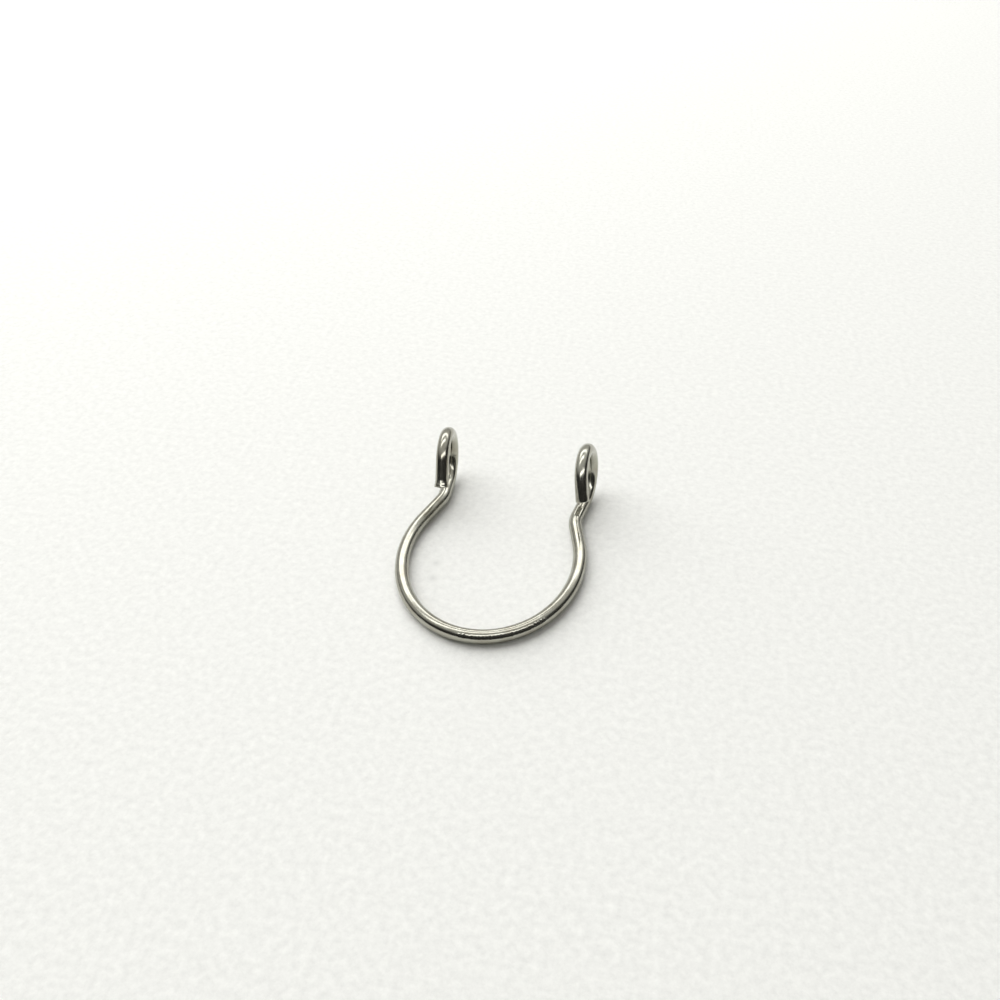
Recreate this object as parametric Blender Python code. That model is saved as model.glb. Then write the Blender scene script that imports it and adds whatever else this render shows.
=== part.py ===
"""Fake septum ring: one length of round stainless wire, bent to a hoop with an upright eye at each end.

Lengths are in metres and +Z is up. The ring lies as on a table, with its hoop and legs flat on the
ground and its two eyes standing up. The front of the hoop points to -Y and the eyes to +Y. The origin is
on the ground, below the middle of the whole ring.
"""

from collections import namedtuple
from math import ceil, cos, radians, sin

import bpy
from mathutils import Matrix, Vector

MM = 0.001

# Wire
WIRE_DIAMETER = 0.80 * MM
# A round bevel has 4 sides and 2 more for each step of this setting
WIRE_BEVEL_RESOLUTION = 6
# Most that the wire turns from one point of its centre line to the next
WIDEST_STEP = radians(5)

# Hoop, an oval measured inside the wire
HOOP_INNER_WIDTH = 9.50 * MM
HOOP_WIDEST_TO_INNER_FRONT = 6.10 * MM

# Legs, the straight stretches behind the hoop, and the bend that turns each of them outwards
LEFT_LEG_LENGTH = 2.00 * MM
RIGHT_LEG_LENGTH = 1.50 * MM
LEG_BEND_INSIDE_RADIUS = 1.95 * MM

# Leads, the straight stretches from that bend to the eyes
LEFT_LEAD_LENGTH = 0.90 * MM
RIGHT_LEAD_LENGTH = 1.50 * MM

# Eyes, and the nearly straight tails that end in the cuts
EYE_INNER_DIAMETER = 2.80 * MM
LEFT_TAIL_LENGTH = 1.60 * MM
RIGHT_TAIL_LENGTH = 1.40 * MM
# How far each cut end stands outwards of its eye's own plane
LEFT_SIDE_DRIFT = -0.20 * MM
RIGHT_SIDE_DRIFT = 0.70 * MM

# The wire is bent by hand, so its two ends differ a little. A row's angles, in degrees, are hoop_sweep
# from the hoop's front to the leg, leg_bend outwards in plan, eye_turn up and back over the lead,
# tail_curl on along the tail, and eye_lean, which tips the whole eye outwards about its lead.
EndBends = namedtuple(
    "EndBends",
    "sign hoop_sweep leg leg_bend lead eye_turn tail tail_curl eye_lean side_drift",
)
ENDS = {
    "left": EndBends(-1, 113, LEFT_LEG_LENGTH, 20, LEFT_LEAD_LENGTH,
                     232, LEFT_TAIL_LENGTH, 0, 2, LEFT_SIDE_DRIFT),
    "right": EndBends(1, 108, RIGHT_LEG_LENGTH, 25, RIGHT_LEAD_LENGTH,
                      232, RIGHT_TAIL_LENGTH, 15, -8, RIGHT_SIDE_DRIFT),
}

# Polished stainless steel
STEEL_COLOUR = (0.60, 0.59, 0.56, 1.0)
STEEL_ROUGHNESS = 0.12

COLLECTION_NAME = "fake_septum_ring"
WIRE_NAME = "septum_wire"
STEEL_NAME = "polished_stainless_steel"

UP = Vector((0.0, 0.0, 1.0))
WIRE_RADIUS = WIRE_DIAMETER / 2
HOOP_HALF_WIDTH = (HOOP_INNER_WIDTH + WIRE_DIAMETER) / 2
HOOP_HALF_LENGTH = HOOP_WIDEST_TO_INNER_FRONT + WIRE_RADIUS
LEG_BEND_RADIUS = LEG_BEND_INSIDE_RADIUS + WIRE_RADIUS
EYE_RADIUS = (EYE_INNER_DIAMETER + WIRE_DIAMETER) / 2


class WireBender:
    """Feeds wire on, straight or turning, and keeps the centre line's points and their lengths."""

    def __init__(self, position, heading):
        self.position = position.copy()
        self.heading = heading.normalized()
        self.axis = UP.copy()
        self.fed = 0.0
        self.points = []
        self.lengths = []

    def feed(self, length, turn=0.0):
        """Feeds a length of wire, while its heading turns evenly about the bend axis."""
        steps = steps_for(turn)
        half_step = Matrix.Rotation(turn / steps / 2, 3, self.axis)
        for _ in range(steps):
            self.heading = half_step @ self.heading
            self.position += self.heading * (length / steps)
            self.heading = half_step @ self.heading
            self.fed += length / steps
            self.points.append(self.position.copy())
            self.lengths.append(self.fed)

    def bend(self, radius, turn):
        """Bends the wire by an angle round a circle of this radius."""
        self.feed(radius * abs(turn), turn)

    def stand_up(self, lean):
        """Makes the next bend turn upwards, in an upright plane that leans about the heading."""
        level = self.heading.cross(UP).normalized()
        self.axis = Matrix.Rotation(lean, 3, self.heading) @ level


def steps_for(turn):
    """How many steps a stretch of wire takes for its turn."""
    return max(1, ceil(abs(turn) / WIDEST_STEP))


def hoop_point(angle, sign):
    """A point of the hoop's oval; the angle is counted from its front towards one side."""
    return Vector((sign * HOOP_HALF_WIDTH * sin(angle), -HOOP_HALF_LENGTH * cos(angle), WIRE_RADIUS))


def hoop_heading(angle, sign):
    """The way the wire runs at that point, away from the front."""
    return Vector((sign * HOOP_HALF_WIDTH * cos(angle), HOOP_HALF_LENGTH * sin(angle), 0.0))


def half_path(end):
    """The centre line from the front of the hoop to one cut end, without the front point itself."""
    sweep = radians(end.hoop_sweep)
    steps = steps_for(sweep)
    hoop = [hoop_point(sweep * i / steps, end.sign) for i in range(1, steps + 1)]

    wire = WireBender(hoop[-1], hoop_heading(sweep, end.sign))
    wire.feed(end.leg)
    wire.bend(LEG_BEND_RADIUS, -end.sign * radians(end.leg_bend))
    wire.feed(end.lead)
    flat_points = len(wire.points)
    flat_length = wire.fed
    wire.stand_up(end.sign * radians(end.eye_lean))
    wire.bend(EYE_RADIUS, radians(end.eye_turn))
    wire.feed(end.tail, radians(end.tail_curl))

    # The eye is wound like a turn of a spring, and leaves its own plane faster towards its cut end
    outwards = wire.axis * (end.sign * end.side_drift)
    for point, fed in zip(wire.points[flat_points:], wire.lengths[flat_points:]):
        share = (fed - flat_length) / (wire.fed - flat_length)
        point += outwards * share ** 2
    return hoop + wire.points


def wire_path():
    """The whole centre line, from the left cut end round the hoop to the right one."""
    left = half_path(ENDS["left"])
    right = half_path(ENDS["right"])
    return left[::-1] + [hoop_point(0.0, 1)] + right


def centred(points):
    """The points moved level, so that the middle of the ring's outline lies over the origin."""
    middle = Vector((0.0, 0.0, 0.0))
    for axis in (0, 1):
        places = [point[axis] for point in points]
        middle[axis] = (min(places) + max(places)) / 2
    return [point - middle for point in points]


def make_steel():
    """The ring's one material."""
    steel = bpy.data.materials.new(STEEL_NAME)
    steel.use_nodes = True
    shader = steel.node_tree.nodes["Principled BSDF"]
    shader.inputs["Base Color"].default_value = STEEL_COLOUR
    shader.inputs["Metallic"].default_value = 1.0
    shader.inputs["Roughness"].default_value = STEEL_ROUGHNESS
    return steel


def make_wire(points, collection):
    """The wire, a curve with a round bevel and two filled ends."""
    curve = bpy.data.curves.new(WIRE_NAME, "CURVE")
    curve.dimensions = "3D"
    curve.bevel_depth = WIRE_RADIUS
    curve.bevel_resolution = WIRE_BEVEL_RESOLUTION
    curve.use_fill_caps = True
    spline = curve.splines.new("POLY")
    spline.points.add(len(points) - 1)
    for control, point in zip(spline.points, points):
        control.co = (*point, 1.0)
    spline.use_smooth = True
    curve.materials.append(make_steel())
    collection.objects.link(bpy.data.objects.new(WIRE_NAME, curve))


def main():
    for old in list(bpy.data.objects):
        bpy.data.objects.remove(old, do_unlink=True)
    collection = bpy.data.collections.new(COLLECTION_NAME)
    bpy.context.scene.collection.children.link(collection)
    make_wire(centred(wire_path()), collection)


main()
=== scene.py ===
"""Fake septum ring on white paper: one length of polished steel wire, bent to a hoop with two eyes.

Lengths are in metres and +Z is up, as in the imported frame. The ring lies with its hoop and legs flat on
the paper and its two eyes standing up; the front of the hoop points to -Y.
"""

from collections import namedtuple
from math import ceil, cos, pi, radians, sin

import bmesh
import bpy
from bpy.props import FloatProperty, FloatVectorProperty, PointerProperty
from mathutils import Matrix, Vector


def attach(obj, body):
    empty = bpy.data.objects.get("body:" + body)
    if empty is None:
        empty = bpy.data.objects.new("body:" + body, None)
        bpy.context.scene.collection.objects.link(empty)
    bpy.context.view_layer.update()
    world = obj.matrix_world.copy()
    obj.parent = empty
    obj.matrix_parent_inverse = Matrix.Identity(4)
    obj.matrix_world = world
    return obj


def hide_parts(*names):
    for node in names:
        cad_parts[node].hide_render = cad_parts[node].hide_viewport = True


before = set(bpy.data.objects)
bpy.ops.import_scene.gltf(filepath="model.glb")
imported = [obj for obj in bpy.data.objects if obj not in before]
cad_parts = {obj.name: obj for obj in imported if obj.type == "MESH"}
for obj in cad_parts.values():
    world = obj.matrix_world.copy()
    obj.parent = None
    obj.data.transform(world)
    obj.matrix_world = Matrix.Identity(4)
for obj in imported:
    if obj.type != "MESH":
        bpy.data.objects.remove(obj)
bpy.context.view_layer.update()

bl_info = {
    "name": "Fake septum ring",
    "version": (1, 0, 0),
    "blender": (4, 5, 0),
    "location": "3D View > Sidebar > Septum Ring",
    "description": "Bends a fake septum ring from steel wire and lays it on paper under soft light",
    "category": "Object",
}

MM = 0.001
UP = Vector((0.0, 0.0, 1.0))

# Wire mesh
WIRE_NAME = "bent_wire"
WIRE_SIDES = 64
# The length is divided by this many cuts, and each of the stretches once more by as many
LENGTH_CUTS = 27
# Most that the path turns from one of its points to the next, and the fewest steps of a stretch
PATH_STEP = radians(1)
FEWEST_STEPS = 4
# Edges that turn less than this are shaded smooth
SMOOTH_BELOW = radians(30)

# Cut ends. A face belongs to the cut if its normal runs along the wire by this share or more.
SQUARE_ON = 0.999
RIM_STEPS = 3
# The ridge of a cut: two steps inwards, as shares of the diameter, then how far the face that is left
# shrinks across the ridge and grows along it
RIDGE_INSETS = (0.12, 0.12)
RIDGE_THICKNESS = 0.25
RIDGE_LENGTH = 1.3
# A flared end widens over this length, in as many steps
FLARE_LENGTH = 0.36 * MM
FLARE_STEPS = 4

# Marks of the bending pliers' jaws: a row of flat ticks, uneven in depth, on the front of the hoop.
# Their places are distances along the straight wire from its left cut end.
TICKS = 25
FIRST_TICK = 24.0 * MM
TICK_SPACING = 0.19 * MM
TICK_DEPTH = 0.023 * MM
TICK_UNEVENNESS = 0.3
# The side of the straight wire that they are on, which comes to face outwards and up
TICKS_SIDE = Vector((0.0, cos(radians(-46)), sin(radians(-46))))
# A longer, deeper mark where the right leg's bend ends, on the side that comes to face up
NICK_PLACE = 38.2 * MM
NICK_HALF_LENGTH = 0.45 * MM
NICK_DEPTH = 0.04 * MM
NICK_SIDE = Vector((0.0, cos(radians(-88)), sin(radians(-88))))

# Attribute with a point's place on the wire before it was bent: X along it, Y and Z across it
STRAIGHT = "straight"


def linear(hex_colour):
    """An sRGB colour such as "#F4F3EE" as linear red, green and blue."""
    shades = [int(hex_colour[i:i + 2], 16) / 255 for i in (1, 3, 5)]
    return tuple(s / 12.92 if s <= 0.04045 else ((s + 0.055) / 1.055) ** 2.4 for s in shades)


# Settings


def length_setting(name, description, default):
    """A length that the user may change."""
    return FloatProperty(name=name, description=description, default=default, unit="LENGTH",
                         precision=5)


def angle_setting(name, description, degrees):
    """An angle that the user may change."""
    return FloatProperty(name=name, description=description, default=radians(degrees),
                         subtype="ANGLE", unit="ROTATION")


def colour_setting(name, description, hex_colour):
    """A colour that the user may change."""
    return FloatVectorProperty(name=name, description=description, default=linear(hex_colour),
                               subtype="COLOR", size=3, min=0.0, max=1.0)


class WireSizes(bpy.types.PropertyGroup):
    """Sizes that both halves of the ring share."""

    diameter: length_setting("Wire diameter", "Thickness of the round wire", 0.80 * MM)
    hoop_inner_width: length_setting("Hoop width", "Widest place inside the hoop", 9.50 * MM)
    hoop_inner_reach: length_setting(
        "Hoop reach", "From the hoop's widest place to its front, inside the wire", 6.10 * MM)
    leg_bend_radius: length_setting(
        "Leg bend radius", "Inside radius of the bend between leg and lead", 1.95 * MM)
    eye_inner_diameter: length_setting("Eye diameter", "Inside diameter of each eye", 2.80 * MM)
    cut_rounding: length_setting("Cut rounding", "Rounding of the rim of each cut end", 0.03 * MM)
    cut_ridge: length_setting("Cut ridge", "Height of the ridge that the cutter leaves", 0.05 * MM)


class LeftEnd(bpy.types.PropertyGroup):
    """Bends of the left half, from the front of the hoop to its cut end."""

    hoop_sweep: angle_setting("Hoop sweep", "Turn round the oval from its front to the leg", 113)
    leg: length_setting("Leg", "Straight wire behind the hoop", 2.00 * MM)
    leg_bend: angle_setting("Leg bend", "Bend outwards at the end of the leg", 20)
    lead: length_setting("Lead", "Straight wire from that bend to the eye", 0.90 * MM)
    eye_turn: angle_setting("Eye turn", "Turn of the eye up and back over the lead", 232)
    tail: length_setting("Tail", "Wire from the eye to the cut", 1.60 * MM)
    tail_curl: angle_setting("Tail curl", "Turn along the tail", 0)
    eye_lean: angle_setting("Eye lean", "How far the eye tips outwards", 2)
    side_drift: length_setting("Side drift", "How far the cut end stands outwards", -0.20 * MM)
    flare: length_setting("Flare", "How far the cutter spread the rim of the cut", 0.055 * MM)


class RightEnd(bpy.types.PropertyGroup):
    """Bends of the right half, from the front of the hoop to its cut end."""

    hoop_sweep: angle_setting("Hoop sweep", "Turn round the oval from its front to the leg", 108)
    leg: length_setting("Leg", "Straight wire behind the hoop", 1.50 * MM)
    leg_bend: angle_setting("Leg bend", "Bend outwards at the end of the leg", 25)
    lead: length_setting("Lead", "Straight wire from that bend to the eye", 1.50 * MM)
    eye_turn: angle_setting("Eye turn", "Turn of the eye up and back over the lead", 232)
    tail: length_setting("Tail", "Wire from the eye to the cut", 1.40 * MM)
    tail_curl: angle_setting("Tail curl", "Turn along the tail", 15)
    eye_lean: angle_setting("Eye lean", "How far the eye tips outwards", -8)
    side_drift: length_setting("Side drift", "How far the cut end stands outwards", 0.70 * MM)
    flare: length_setting("Flare", "How far the cutter spread the rim of the cut", 0.015 * MM)


class RingLooks(bpy.types.PropertyGroup):
    """Colours of the ring and of what it lies on."""

    steel: colour_setting("Steel", "Colour that the polished steel gives to what it mirrors", "#B0AFA4")
    dull_steel: colour_setting("Dull steel", "The same where the polish has thinned", "#9C988B")
    paper: colour_setting("Paper", "Colour of the paper", "#F4F4F0")


# Path of the wire


class WireBender:
    """Feeds wire on, straight or turning, and keeps the centre line's points and their lengths."""

    def __init__(self, position, heading):
        self.position = position.copy()
        self.heading = heading.normalized()
        self.axis = UP.copy()
        self.fed = 0.0
        self.points = []
        self.lengths = []

    def feed(self, length, turn=0.0):
        """Feeds a length of wire, while its heading turns evenly about the bend axis."""
        steps = steps_for(turn)
        half_step = Matrix.Rotation(turn / steps / 2, 3, self.axis)
        for _ in range(steps):
            self.heading = half_step @ self.heading
            self.position += self.heading * (length / steps)
            self.heading = half_step @ self.heading
            self.fed += length / steps
            self.points.append(self.position.copy())
            self.lengths.append(self.fed)

    def bend(self, radius, turn):
        """Bends the wire by an angle round a circle of this radius."""
        self.feed(radius * abs(turn), turn)

    def stand_up(self, lean):
        """Makes the next bend turn upwards, in an upright plane that leans about the heading."""
        level = self.heading.cross(UP).normalized()
        self.axis = Matrix.Rotation(lean, 3, self.heading) @ level


def steps_for(turn):
    """How many steps a stretch of wire takes for its turn."""
    return max(FEWEST_STEPS, ceil(abs(turn) / PATH_STEP))


def half_path(sizes, end, sign):
    """The centre line from the front of the hoop to one cut end, without the front point itself."""
    wire_radius = sizes.diameter / 2
    half_width = sizes.hoop_inner_width / 2 + wire_radius
    half_length = sizes.hoop_inner_reach + wire_radius
    steps = steps_for(end.hoop_sweep)
    angles = [end.hoop_sweep * i / steps for i in range(1, steps + 1)]
    hoop = [Vector((sign * half_width * sin(a), -half_length * cos(a), wire_radius)) for a in angles]
    heading = Vector((sign * half_width * cos(angles[-1]), half_length * sin(angles[-1]), 0.0))

    wire = WireBender(hoop[-1], heading)
    wire.feed(end.leg)
    wire.bend(sizes.leg_bend_radius + wire_radius, -sign * end.leg_bend)
    wire.feed(end.lead)
    flat_points = len(wire.points)
    flat_length = wire.fed
    wire.stand_up(sign * end.eye_lean)
    wire.bend(sizes.eye_inner_diameter / 2 + wire_radius, end.eye_turn)
    wire.feed(end.tail, end.tail_curl)

    # The eye is wound like a turn of a spring, and leaves its own plane faster towards its cut end
    outwards = wire.axis * (sign * end.side_drift)
    for point, fed in zip(wire.points[flat_points:], wire.lengths[flat_points:]):
        share = (fed - flat_length) / (wire.fed - flat_length)
        point += outwards * share ** 2
    return hoop + wire.points


def wire_path(sizes, left_end, right_end):
    """The whole centre line, from the left cut end round the hoop to the right one, over the origin."""
    wire_radius = sizes.diameter / 2
    front = Vector((0.0, -sizes.hoop_inner_reach - wire_radius, wire_radius))
    points = half_path(sizes, left_end, -1)[::-1] + [front] + half_path(sizes, right_end, 1)
    middle = Vector((0.0, 0.0, 0.0))
    for axis in (0, 1):
        places = [point[axis] for point in points]
        middle[axis] = (min(places) + max(places)) / 2
    return [point - middle for point in points]


# Modelling


def select_only(wire, kind, wanted):
    """Selects, of the wire's mesh in edit mode, only the wanted parts of one kind."""
    bpy.ops.mesh.select_mode(type=kind)
    bpy.ops.mesh.select_all(action="DESELECT")
    shape = bmesh.from_edit_mesh(wire.data)
    parts = {"VERT": shape.verts, "EDGE": shape.edges, "FACE": shape.faces}
    for part in parts[kind]:
        part.select_set(wanted(part))
    bmesh.update_edit_mesh(wire.data)


def straight_wire(length, sizes, flares):
    """A straight piece of wire along +X from the origin, clipped at both ends and marked by pliers."""
    radius = sizes.diameter / 2
    bpy.ops.object.select_all(action="DESELECT")
    bpy.ops.mesh.primitive_cylinder_add(
        vertices=WIRE_SIDES, radius=radius, depth=length, end_fill_type="NGON",
        location=(length / 2, 0.0, 0.0), rotation=(0.0, pi / 2, 0.0))
    bpy.ops.object.transform_apply(location=True, rotation=True, scale=True)
    wire = bpy.context.object
    wire.name = WIRE_NAME
    wire.data.name = WIRE_NAME

    bpy.ops.object.mode_set(mode="EDIT")
    for outwards in (-1, 1):
        clip_end(wire, outwards, sizes)
    # The side edges are cut in two rounds, since each edge takes only so many cuts at once
    stretch = length
    for _ in range(2):
        select_only(wire, "EDGE", lambda edge: edge.calc_length() > stretch / 2)
        bpy.ops.mesh.subdivide(number_cuts=LENGTH_CUTS)
        stretch /= LENGTH_CUTS + 1
    for end_x, flare in zip((0.0, length), flares):
        flare_end(wire, end_x, flare / radius)
    press_ticks(wire, radius, stretch / 2)
    press_flat(wire, NICK_PLACE, NICK_HALF_LENGTH, NICK_SIDE, radius - NICK_DEPTH)
    bpy.ops.object.mode_set(mode="OBJECT")
    return wire


def clip_end(wire, outwards, sizes):
    """Rounds the rim of one end and pinches its face to the low ridge that a wire cutter leaves."""
    select_cut(wire, outwards)
    bpy.ops.mesh.bevel(offset=sizes.cut_rounding, segments=RIM_STEPS, affect="EDGES")
    select_cut(wire, outwards)
    for share in RIDGE_INSETS:
        bpy.ops.mesh.inset(thickness=sizes.diameter * share)
    bpy.ops.transform.resize(value=(1.0, RIDGE_THICKNESS, RIDGE_LENGTH))
    bpy.ops.transform.translate(value=(outwards * sizes.cut_ridge, 0.0, 0.0))


def select_cut(wire, outwards):
    """Selects only the flat face of one end."""
    select_only(wire, "FACE", lambda face: face.normal.x * outwards > SQUARE_ON)


def flare_end(wire, end_x, widening):
    """Spreads the wire in steps towards one cut, as the jaws of a cutter do."""
    share = 1.0 + widening / FLARE_STEPS
    for step in range(1, FLARE_STEPS + 1):
        reach = FLARE_LENGTH * step / FLARE_STEPS
        select_only(wire, "VERT", lambda point: abs(point.co.x - end_x) < reach)
        bpy.ops.transform.resize(value=(1.0, share, share))


def press_ticks(wire, radius, half_step):
    """Presses each tick into the one ring of points that lies within half a step of its place."""
    for number in range(TICKS):
        depth = TICK_DEPTH * (1.0 + TICK_UNEVENNESS * sin(number * number))
        press_flat(wire, FIRST_TICK + number * TICK_SPACING, half_step, TICKS_SIDE, radius - depth)


def press_flat(wire, place, half_length, side, floor):
    """Presses one side of the wire flat for a short length, down to this distance from its middle."""
    select_only(wire, "VERT", lambda point: abs(point.co.x - place) <= half_length
                and point.co.dot(side) > floor)
    along = Vector((1.0, 0.0, 0.0))
    bpy.ops.transform.resize(value=(1.0, 1.0, 0.0), orient_type="GLOBAL",
                             orient_matrix=(along, side.cross(along), side),
                             orient_matrix_type="GLOBAL", center_override=floor * side)


def keep_straight_places(wire):
    """Stores where each point lies on the straight wire, so that marks follow the wire when bent."""
    places = [0.0] * (3 * len(wire.data.vertices))
    wire.data.vertices.foreach_get("co", places)
    straight = wire.data.attributes.new(name=STRAIGHT, type="FLOAT_VECTOR", domain="POINT")
    straight.data.foreach_set("vector", places)


def bend_along(wire, points):
    """Bends the straight wire along the points."""
    curve = bpy.data.curves.new("bend_path", "CURVE")
    curve.dimensions = "3D"
    curve.twist_mode = "MINIMUM"
    curve.use_deform_bounds = False
    spline = curve.splines.new("POLY")
    spline.points.add(len(points) - 1)
    for control, point in zip(spline.points, points):
        control.co = (*point, 1.0)
    path = bpy.data.objects.new("bend_path", curve)
    bpy.context.collection.objects.link(path)

    bpy.ops.object.select_all(action="DESELECT")
    wire.select_set(True)
    bpy.context.view_layer.objects.active = wire
    bend = wire.modifiers.new("Bend", "CURVE")
    bend.object = path
    bend.deform_axis = "POS_X"
    bpy.ops.object.modifier_apply(modifier=bend.name)
    bpy.data.objects.remove(path, do_unlink=True)
    bpy.data.curves.remove(curve)


def path_length(points):
    """Length of the line through the points."""
    return sum((b - a).length for a, b in zip(points, points[1:]))


# Materials


def add_node(tree, kind, settings=None, **links):
    """Adds a node. Settings are its own properties, or values of its inputs by name or number; links
    join outputs of other nodes to inputs, named with _ for a space or in_ and a number."""
    node = tree.nodes.new(kind)
    for key, value in (settings or {}).items():
        if isinstance(key, str) and hasattr(node, key):
            setattr(node, key, value)
        else:
            node.inputs[key].default_value = value
    for key, output in links.items():
        into = int(key[3:]) if key.startswith("in_") else key.replace("_", " ")
        tree.links.new(output, node.inputs[into])
    return node


def new_material(name):
    """A material with only a principled shader and its output."""
    material = bpy.data.materials.new(name)
    material.use_nodes = True
    return material, material.node_tree, material.node_tree.nodes["Principled BSDF"]


# Each pattern is a noise that strays little from its middle, so a narrow range of it is spread out

# Steel: the lines that the die draws along the wire, and the roughness between and on them
DIE_LINE_LENGTH = 5.0 * MM
DIE_LINE_SPACING = 0.0625 * MM
DIE_LINE_RANGE = (0.3, 0.7)
DIE_LINE_DEPTH = 0.004 * MM
DIE_LINE_RELIEF = 0.15
POLISHED_ROUGHNESS = 0.14
SCORED_ROUGHNESS = 0.24
THIN_PATCHES_PER_MM = 0.9
THIN_PATCH_RANGE = (0.40, 0.75)

# Paper: its tooth, with how much the shade varies with it and how deep it is
PAPER_ROUGHNESS = 0.9
PAPER_SHINE = 0.2
TOOTH_SIZE = 0.4 * MM
TOOTH_RANGE = (0.25, 0.75)
TOOTH_SHADE = 0.09
TOOTH_DEPTH = 0.02 * MM
TOOTH_RELIEF = 0.5
# Two faint grey patches darken the paper's colour inside the hoop, at these places. The tooth adds up to
# the ragged width
# # to the distance from a patch's middle, and the darkening fades between two reaches of their sum.
GREY_PATCHES = (Vector((-3.15, -1.50, 0.0)) * MM, Vector((-3.05, -2.78, 0.0)) * MM)
GREY_PATCH_RADIUS = 0.42 * MM
GREY_PATCH_DARKNESS = 0.16
GREY_PATCH_RAGGED_WIDTH = 3.0 * GREY_PATCH_RADIUS
GREY_PATCH_REACHES = (1.3 * GREY_PATCH_RADIUS, 2.5 * GREY_PATCH_RADIUS)


def drawn_steel(looks):
    """Stainless steel wire, drawn through a die and tumble-polished: soft mirror images drawn out along
    the wire, a little warm and darker than silver."""
    steel, tree, shader = new_material("drawn_polished_stainless_steel")
    shader.inputs["Metallic"].default_value = 1.0
    place = add_node(tree, "ShaderNodeAttribute", {"attribute_name": STRAIGHT})

    # A noise drawn out along the wire makes the die's lines
    drawn_out = (1 / DIE_LINE_LENGTH, 1 / DIE_LINE_SPACING, 1 / DIE_LINE_SPACING)
    along = add_node(tree, "ShaderNodeVectorMath", {"operation": "MULTIPLY", 1: drawn_out},
                     in_0=place.outputs["Vector"])
    lines = add_node(tree, "ShaderNodeTexNoise", {"Scale": 1.0, "Detail": 2.0},
                     Vector=along.outputs["Vector"])
    rough = add_node(tree, "ShaderNodeMapRange", {
        "From Min": DIE_LINE_RANGE[0], "From Max": DIE_LINE_RANGE[1],
        "To Min": POLISHED_ROUGHNESS, "To Max": SCORED_ROUGHNESS}, Value=lines.outputs["Fac"])
    scored = add_node(tree, "ShaderNodeBump", {"Strength": DIE_LINE_RELIEF, "Distance": DIE_LINE_DEPTH},
                      Height=lines.outputs["Fac"])

    # The polish thins out in patches about 1 mm long, which look a shade darker and browner
    patches = add_node(tree, "ShaderNodeTexNoise", {
        "Scale": THIN_PATCHES_PER_MM / MM, "Detail": 3.0, "Roughness": 0.6},
        Vector=place.outputs["Vector"])
    dulled = add_node(tree, "ShaderNodeMapRange", {
        "From Min": THIN_PATCH_RANGE[0], "From Max": THIN_PATCH_RANGE[1]},
        Value=patches.outputs["Fac"])
    colour = add_node(tree, "ShaderNodeMix", {"data_type": "RGBA", 6: (*looks.steel, 1.0),
                                              7: (*looks.dull_steel, 1.0)},
                      Factor=dulled.outputs["Result"])

    tree.links.new(colour.outputs["Result"], shader.inputs["Base Color"])
    tree.links.new(rough.outputs["Result"], shader.inputs["Roughness"])
    tree.links.new(scored.outputs["Normal"], shader.inputs["Normal"])
    return steel


def drawing_paper(looks):
    """Uncoated white paper: matt, with a faint tooth of pressed fibres and two faint grey patches in its
    colour.
    """
    paper, tree, shader = new_material("uncoated_white_paper")
    shader.inputs["Roughness"].default_value = PAPER_ROUGHNESS
    shader.inputs["Specular IOR Level"].default_value = PAPER_SHINE
    place = add_node(tree, "ShaderNodeTexCoord")
    # Each step of detail halves the tooth's size, down to 0.03 mm, the width of a fibre
    tooth = add_node(tree, "ShaderNodeTexNoise", {
        "Scale": 1 / TOOTH_SIZE, "Detail": 4.0, "Roughness": 0.75}, Vector=place.outputs["Object"])
    shade = add_node(tree, "ShaderNodeMapRange", {
        "From Min": TOOTH_RANGE[0], "From Max": TOOTH_RANGE[1],
        "To Min": 1.0 + TOOTH_SHADE, "To Max": 1.0 - TOOTH_SHADE}, Value=tooth.outputs["Fac"])
    # Each grey patch is painted darker into the paper's colour around its middle, fading out across its
    # ragged edge
    for middle in GREY_PATCHES:
        away = add_node(tree, "ShaderNodeVectorMath", {"operation": "DISTANCE", 1: middle},
                        in_0=place.outputs["Object"])
        ragged = add_node(tree, "ShaderNodeMath", {"operation": "MULTIPLY_ADD", 1: GREY_PATCH_RAGGED_WIDTH},
                          in_0=tooth.outputs["Fac"], in_2=away.outputs["Value"])
        outside_patches = add_node(tree, "ShaderNodeMapRange", {
            "interpolation_type": "SMOOTHSTEP", "From Min": GREY_PATCH_REACHES[0],
            "From Max": GREY_PATCH_REACHES[1], "To Min": 1.0 - GREY_PATCH_DARKNESS, "To Max": 1.0},
            Value=ragged.outputs["Value"])
        shade = add_node(tree, "ShaderNodeMath", {"operation": "MULTIPLY"},
                         in_0=shade.outputs[0], in_1=outside_patches.outputs["Result"])
    colour = add_node(tree, "ShaderNodeVectorMath", {"operation": "SCALE", 0: looks.paper},
                      Scale=shade.outputs[0])
    bump = add_node(tree, "ShaderNodeBump", {"Strength": TOOTH_RELIEF, "Distance": TOOTH_DEPTH},
                    Height=tooth.outputs["Fac"])
    tree.links.new(colour.outputs["Vector"], shader.inputs["Base Color"])
    tree.links.new(bump.outputs["Normal"], shader.inputs["Normal"])
    return paper


# Stage

PAPER_SIDE = 1.2
CAMERA_PLACE = Vector((8.4423, -43.5465, 39.9509)) * MM
CAMERA_AIM = Vector((-0.5483, 4.9626, 0.0)) * MM
CAMERA_LENS = 36.108
CAMERA_NEAREST = 1.0 * MM
CAMERA_FARTHEST = 10.0

# Strip lights hang level at this height above the ring. Their places and sides are in units of the
# height, from the point straight above the ring, and turn is a strip's angle from the X axis in degrees.
# Only the steel shows them: the paper doesn't get their light.
STRIP_HEIGHT = 0.6
Strip = namedtuple("Strip", "name middle_x middle_y turn length width radiance")
STRIPS = (
    Strip("far_strip", -0.15, 1.18, 6, 1.9, 0.46, 2.8),
    Strip("left_strip", -0.66, 0.80, 40, 0.8, 0.34, 2.8),
    Strip("middle_strip", -0.25, 0.27, 24, 1.1, 0.25, 2.9),
    Strip("near_strip", 0.38, -0.50, 24, 1.7, 0.25, 3.8),
)

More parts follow.
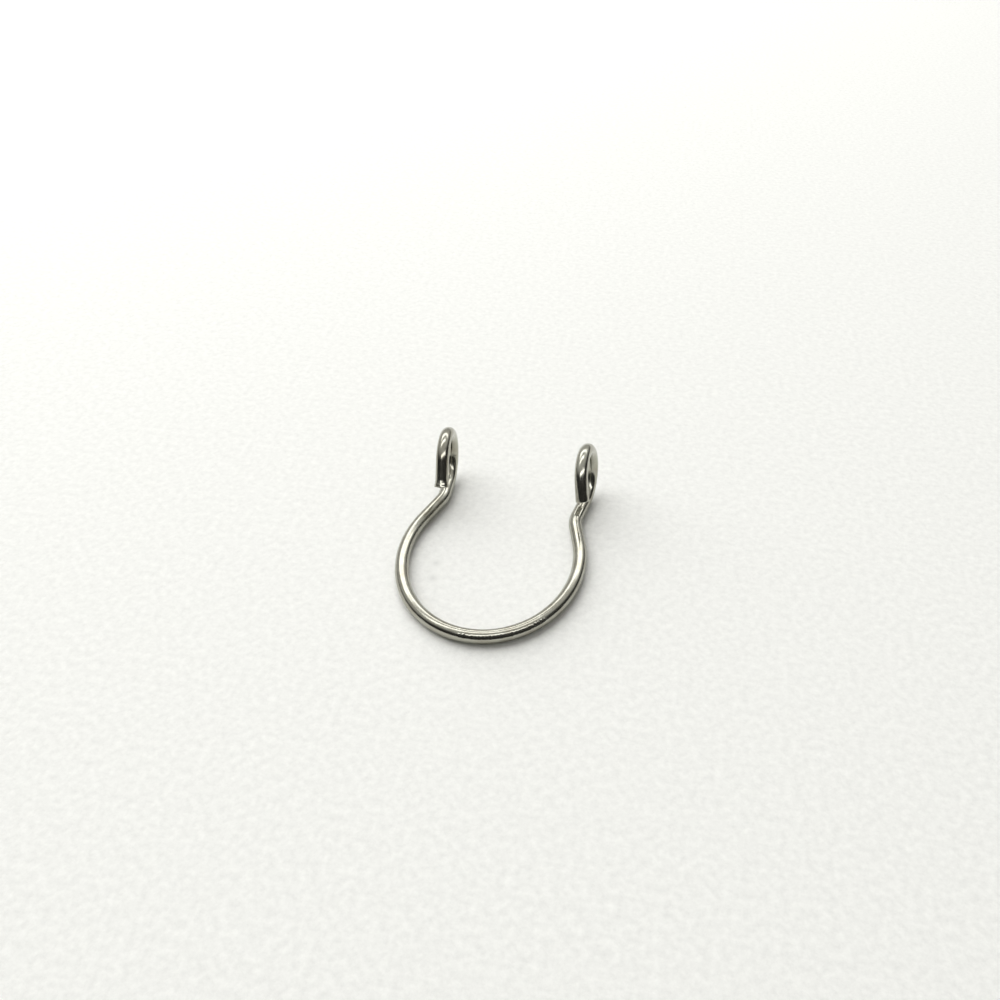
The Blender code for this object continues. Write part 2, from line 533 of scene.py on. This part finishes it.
# The softbox stands to the far left and lights the paper, and the steel doesn't mirror it
SOFTBOX_AZIMUTH = radians(-45)
SOFTBOX_ELEVATION = radians(42)
SOFTBOX_DISTANCE = 0.44
SOFTBOX_SIDE = 0.66
SOFTBOX_RADIANCE = 2.6

# The rest of the room as the steel mirrors it: grey on the far left and above, lighter on the right, and
# dark behind the camera. A pair of reaches says where along its direction a change starts and ends.
ROOM_TINT = "#FFFFFB"
ROOM_DARK = 0.03
ROOM_GREY = 0.62
TOWARDS_FAR_AND_UP = (-0.3, 0.6, 1.0)
GREY_REACHES = (0.32, 0.85)
ROOM_LIGHTER_BY = 0.15
TOWARDS_RIGHT = (0.8, 0.5, 0.3)
LIGHTER_REACHES = (0.5, 0.95)
# What the paper gets from all round, and what the camera sees beyond the paper
FILL_LIGHT = 0.30
BACKDROP_LIGHT = 0.90


def lay_paper(looks):
    """The sheet that the ring lies on."""
    bpy.ops.object.select_all(action="DESELECT")
    bpy.ops.mesh.primitive_plane_add(size=PAPER_SIDE, location=(0.0, 0.0, 0.0))
    paper = bpy.context.object
    paper.name = "paper"
    paper.data.materials.append(drawing_paper(looks))


def hang_lamp(name, place, sides, radiance):
    """A flat lamp at this place, which shines straight down until it is turned."""
    bpy.ops.object.light_add(type="AREA", location=place)
    lamp = bpy.context.object
    lamp.name = name
    lamp.data.shape = "RECTANGLE"
    lamp.data.size, lamp.data.size_y = sides
    # A flat lamp's power spreads over its area and, through its cosine law, over pi
    lamp.data.energy = radiance * pi * sides[0] * sides[1]
    return lamp


def hang_strips():
    """Long soft lights overhead, which the wire mirrors as bright lines."""
    for strip in STRIPS:
        middle = Vector((strip.middle_x, strip.middle_y, 1.0))
        sides = (strip.length * STRIP_HEIGHT, strip.width * STRIP_HEIGHT)
        lamp = hang_lamp(strip.name, middle * STRIP_HEIGHT, sides, strip.radiance)
        lamp.rotation_euler.z = radians(strip.turn)
        lamp.visible_diffuse = False


def stand_softbox():
    """The light that whitens the paper and throws the ring's soft shadow to the near right."""
    towards = Vector((sin(SOFTBOX_AZIMUTH) * cos(SOFTBOX_ELEVATION),
                      cos(SOFTBOX_AZIMUTH) * cos(SOFTBOX_ELEVATION), sin(SOFTBOX_ELEVATION)))
    lamp = hang_lamp("softbox", towards * SOFTBOX_DISTANCE, (SOFTBOX_SIDE, SOFTBOX_SIDE),
                     SOFTBOX_RADIANCE)
    lamp.rotation_euler = towards.to_track_quat("Z", "Y").to_euler()
    lamp.visible_glossy = False


def light_room():
    """The dim room that the wire mirrors between the strips, and a pale backdrop for the camera."""
    world = bpy.data.worlds.new("soft_room")
    bpy.context.scene.world = world
    world.use_nodes = True
    tree = world.node_tree
    place = add_node(tree, "ShaderNodeTexCoord")
    up = add_node(tree, "ShaderNodeVectorMath", {"operation": "DOT_PRODUCT", 1: TOWARDS_FAR_AND_UP},
                  in_0=place.outputs["Generated"])
    grey = add_node(tree, "ShaderNodeMapRange", {
        "interpolation_type": "SMOOTHSTEP", "From Min": GREY_REACHES[0], "From Max": GREY_REACHES[1],
        "To Min": ROOM_DARK, "To Max": ROOM_GREY}, Value=up.outputs["Value"])
    right = add_node(tree, "ShaderNodeVectorMath", {"operation": "DOT_PRODUCT", 1: TOWARDS_RIGHT},
                     in_0=place.outputs["Generated"])
    lighter = add_node(tree, "ShaderNodeMapRange", {
        "interpolation_type": "SMOOTHSTEP", "From Min": LIGHTER_REACHES[0],
        "From Max": LIGHTER_REACHES[1], "To Min": 1.0,
        "To Max": 1.0 + ROOM_LIGHTER_BY / ROOM_GREY}, Value=right.outputs["Value"])
    mirrored = add_node(tree, "ShaderNodeMath", {"operation": "MULTIPLY"},
                        in_0=grey.outputs["Result"], in_1=lighter.outputs["Result"])
    ray = add_node(tree, "ShaderNodeLightPath")
    plain = add_node(tree, "ShaderNodeMix", {"A": FILL_LIGHT, "B": BACKDROP_LIGHT},
                     Factor=ray.outputs["Is Camera Ray"])
    brightness = add_node(tree, "ShaderNodeMix", Factor=ray.outputs["Is Glossy Ray"],
                          A=plain.outputs["Result"], B=mirrored.outputs["Value"])
    background = tree.nodes["Background"]
    background.inputs["Color"].default_value = (*linear(ROOM_TINT), 1.0)
    tree.links.new(brightness.outputs["Result"], background.inputs["Strength"])


def place_camera():
    """The camera, at the photograph's angle."""
    turned = (CAMERA_PLACE - CAMERA_AIM).to_track_quat("Z", "Y").to_euler()
    bpy.ops.object.camera_add(location=CAMERA_PLACE, rotation=turned)
    camera = bpy.context.object
    camera.data.lens = CAMERA_LENS
    camera.data.clip_start = CAMERA_NEAREST
    camera.data.clip_end = CAMERA_FARTHEST
    bpy.context.scene.camera = camera


# Operators


class SEPTUM_RING_OT_bend_wire(bpy.types.Operator):
    """Bend the ring from one straight length of steel wire"""

    bl_idname = "septum_ring.bend_wire"
    bl_label = "Bend the wire"

    def execute(self, context):
        scene = context.scene
        points = wire_path(scene.ring_wire, scene.ring_left, scene.ring_right)
        wire = straight_wire(path_length(points), scene.ring_wire,
                             (scene.ring_left.flare, scene.ring_right.flare))
        keep_straight_places(wire)
        bend_along(wire, points)
        bpy.ops.object.shade_smooth_by_angle(angle=SMOOTH_BELOW)
        wire.data.materials.append(drawn_steel(scene.ring_looks))
        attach(wire, "root")
        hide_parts("septum_wire")
        return {"FINISHED"}


class SEPTUM_RING_OT_set_stage(bpy.types.Operator):
    """Lay the paper, light it and place the camera"""

    bl_idname = "septum_ring.set_stage"
    bl_label = "Set the stage"

    def execute(self, context):
        context.scene.view_settings.view_transform = "Standard"
        lay_paper(context.scene.ring_looks)
        hang_strips()
        stand_softbox()
        light_room()
        place_camera()
        return {"FINISHED"}


class SEPTUM_RING_PT_settings(bpy.types.Panel):
    """Sizes, colours and the steps that make the ring"""

    bl_idname = "SEPTUM_RING_PT_settings"
    bl_label = "Fake septum ring"
    bl_space_type = "VIEW_3D"
    bl_region_type = "UI"
    bl_category = "Septum Ring"

    def draw(self, context):
        scene = context.scene
        for title, settings in (("Wire", scene.ring_wire), ("Left end", scene.ring_left),
                                ("Right end", scene.ring_right), ("Looks", scene.ring_looks)):
            box = self.layout.box()
            box.label(text=title)
            for name in settings.__annotations__:
                box.prop(settings, name)
        for operator in OPERATORS:
            self.layout.operator(operator.bl_idname)


OPERATORS = (SEPTUM_RING_OT_bend_wire, SEPTUM_RING_OT_set_stage)
CLASSES = (WireSizes, LeftEnd, RightEnd, RingLooks, *OPERATORS, SEPTUM_RING_PT_settings)


def register():
    for each in CLASSES:
        bpy.utils.register_class(each)
    bpy.types.Scene.ring_wire = PointerProperty(type=WireSizes)
    bpy.types.Scene.ring_left = PointerProperty(type=LeftEnd)
    bpy.types.Scene.ring_right = PointerProperty(type=RightEnd)
    bpy.types.Scene.ring_looks = PointerProperty(type=RingLooks)


def unregister():
    del bpy.types.Scene.ring_looks
    del bpy.types.Scene.ring_right
    del bpy.types.Scene.ring_left
    del bpy.types.Scene.ring_wire
    for each in reversed(CLASSES):
        bpy.utils.unregister_class(each)


def main():
    register()
    bpy.ops.septum_ring.bend_wire()
    bpy.ops.septum_ring.set_stage()


if __name__ == "__main__":
    main()
